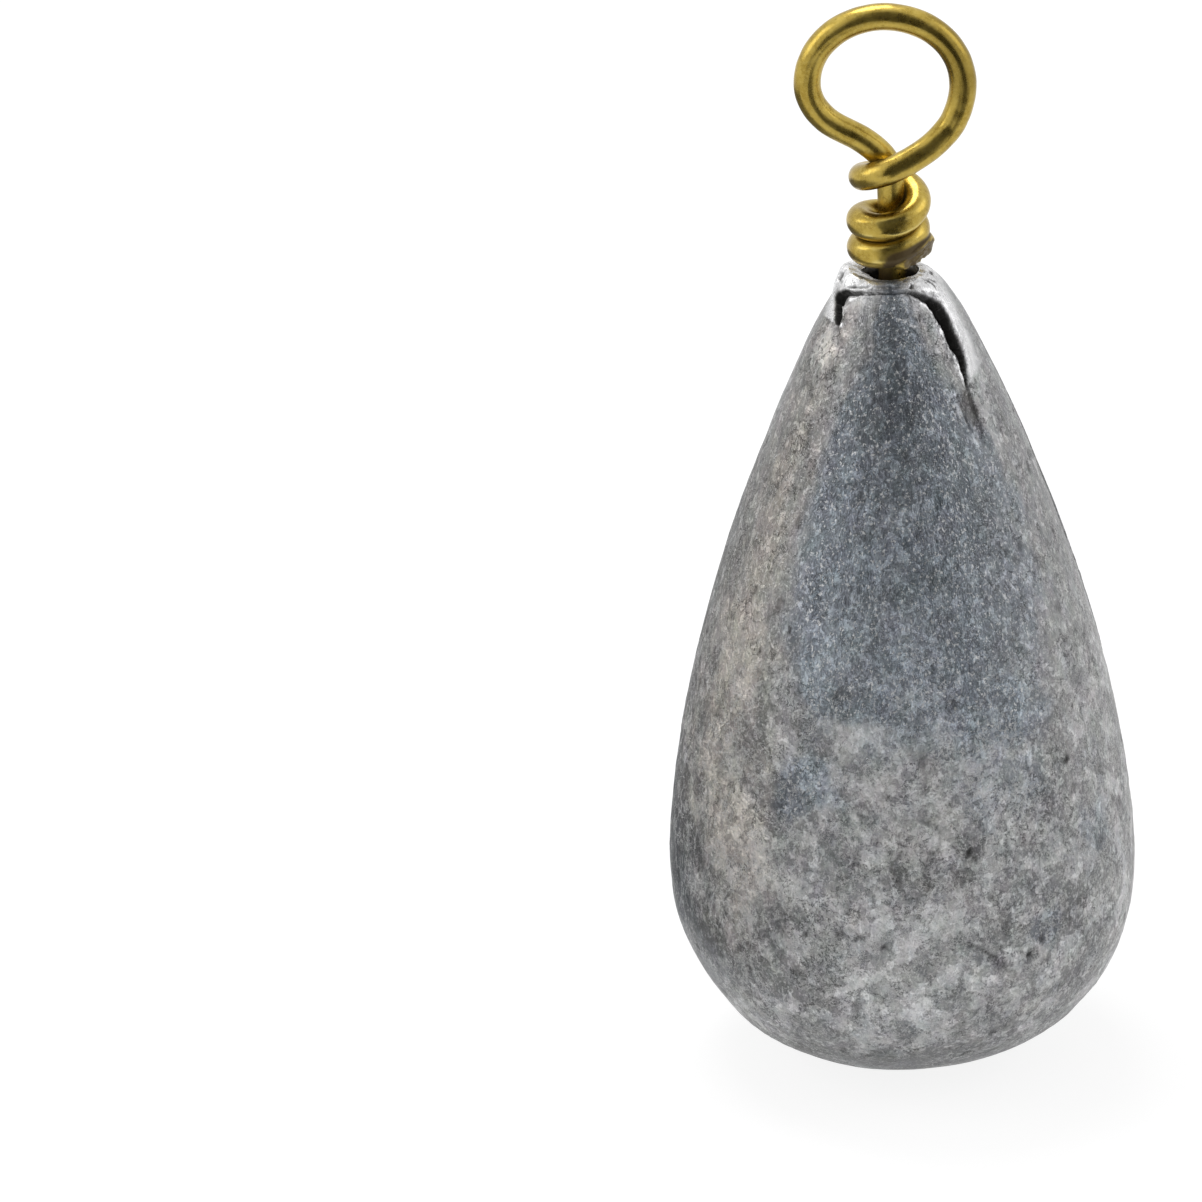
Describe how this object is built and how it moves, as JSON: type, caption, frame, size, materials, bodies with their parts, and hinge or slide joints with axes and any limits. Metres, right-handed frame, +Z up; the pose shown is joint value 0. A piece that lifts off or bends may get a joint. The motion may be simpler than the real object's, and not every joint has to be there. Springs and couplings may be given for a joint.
{
  "type": "fishing sinker",
  "caption": "Teardrop lead casting sinker with a twisted brass wire eye that spins in a small barrel held in its crimped tip.",
  "frame": {"origin": "middle of the flat base, directly below the swivel's axis", "axes": "+Z up along the swivel's axis to the eye, -Y the side that faces the viewer when the eye shows as a ring, +X to that viewer's right"},
  "size_m": [0.0232, 0.0232, 0.0563],
  "materials": {
    "lead": "dull grey lead, satin on the raised sides, pitted and scratched",
    "barrel_brass": "satin drawn brass, tarnished brown in its creases",
    "wire_brass": "satin drawn brass wire, tarnished brown between its wraps"
  },
  "bodies": {
    "lead": {"lead_body": "lead"},
    "barrel": {"swivel_barrel": "barrel_brass"},
    "eye": {"eye_wire": "wire_brass"}
  },
  "joints": [
    {"name": "barrel_draw", "type": "slide", "parent": "lead", "child": "barrel", "axis": [0, 0, 1], "range_m": [0, 0.0013]},
    {"name": "eye_spin", "type": "hinge", "parent": "barrel", "child": "eye", "pos_m": [0, 0, 0.038], "axis": [0, 0, 1], "continuous": true}
  ]
}
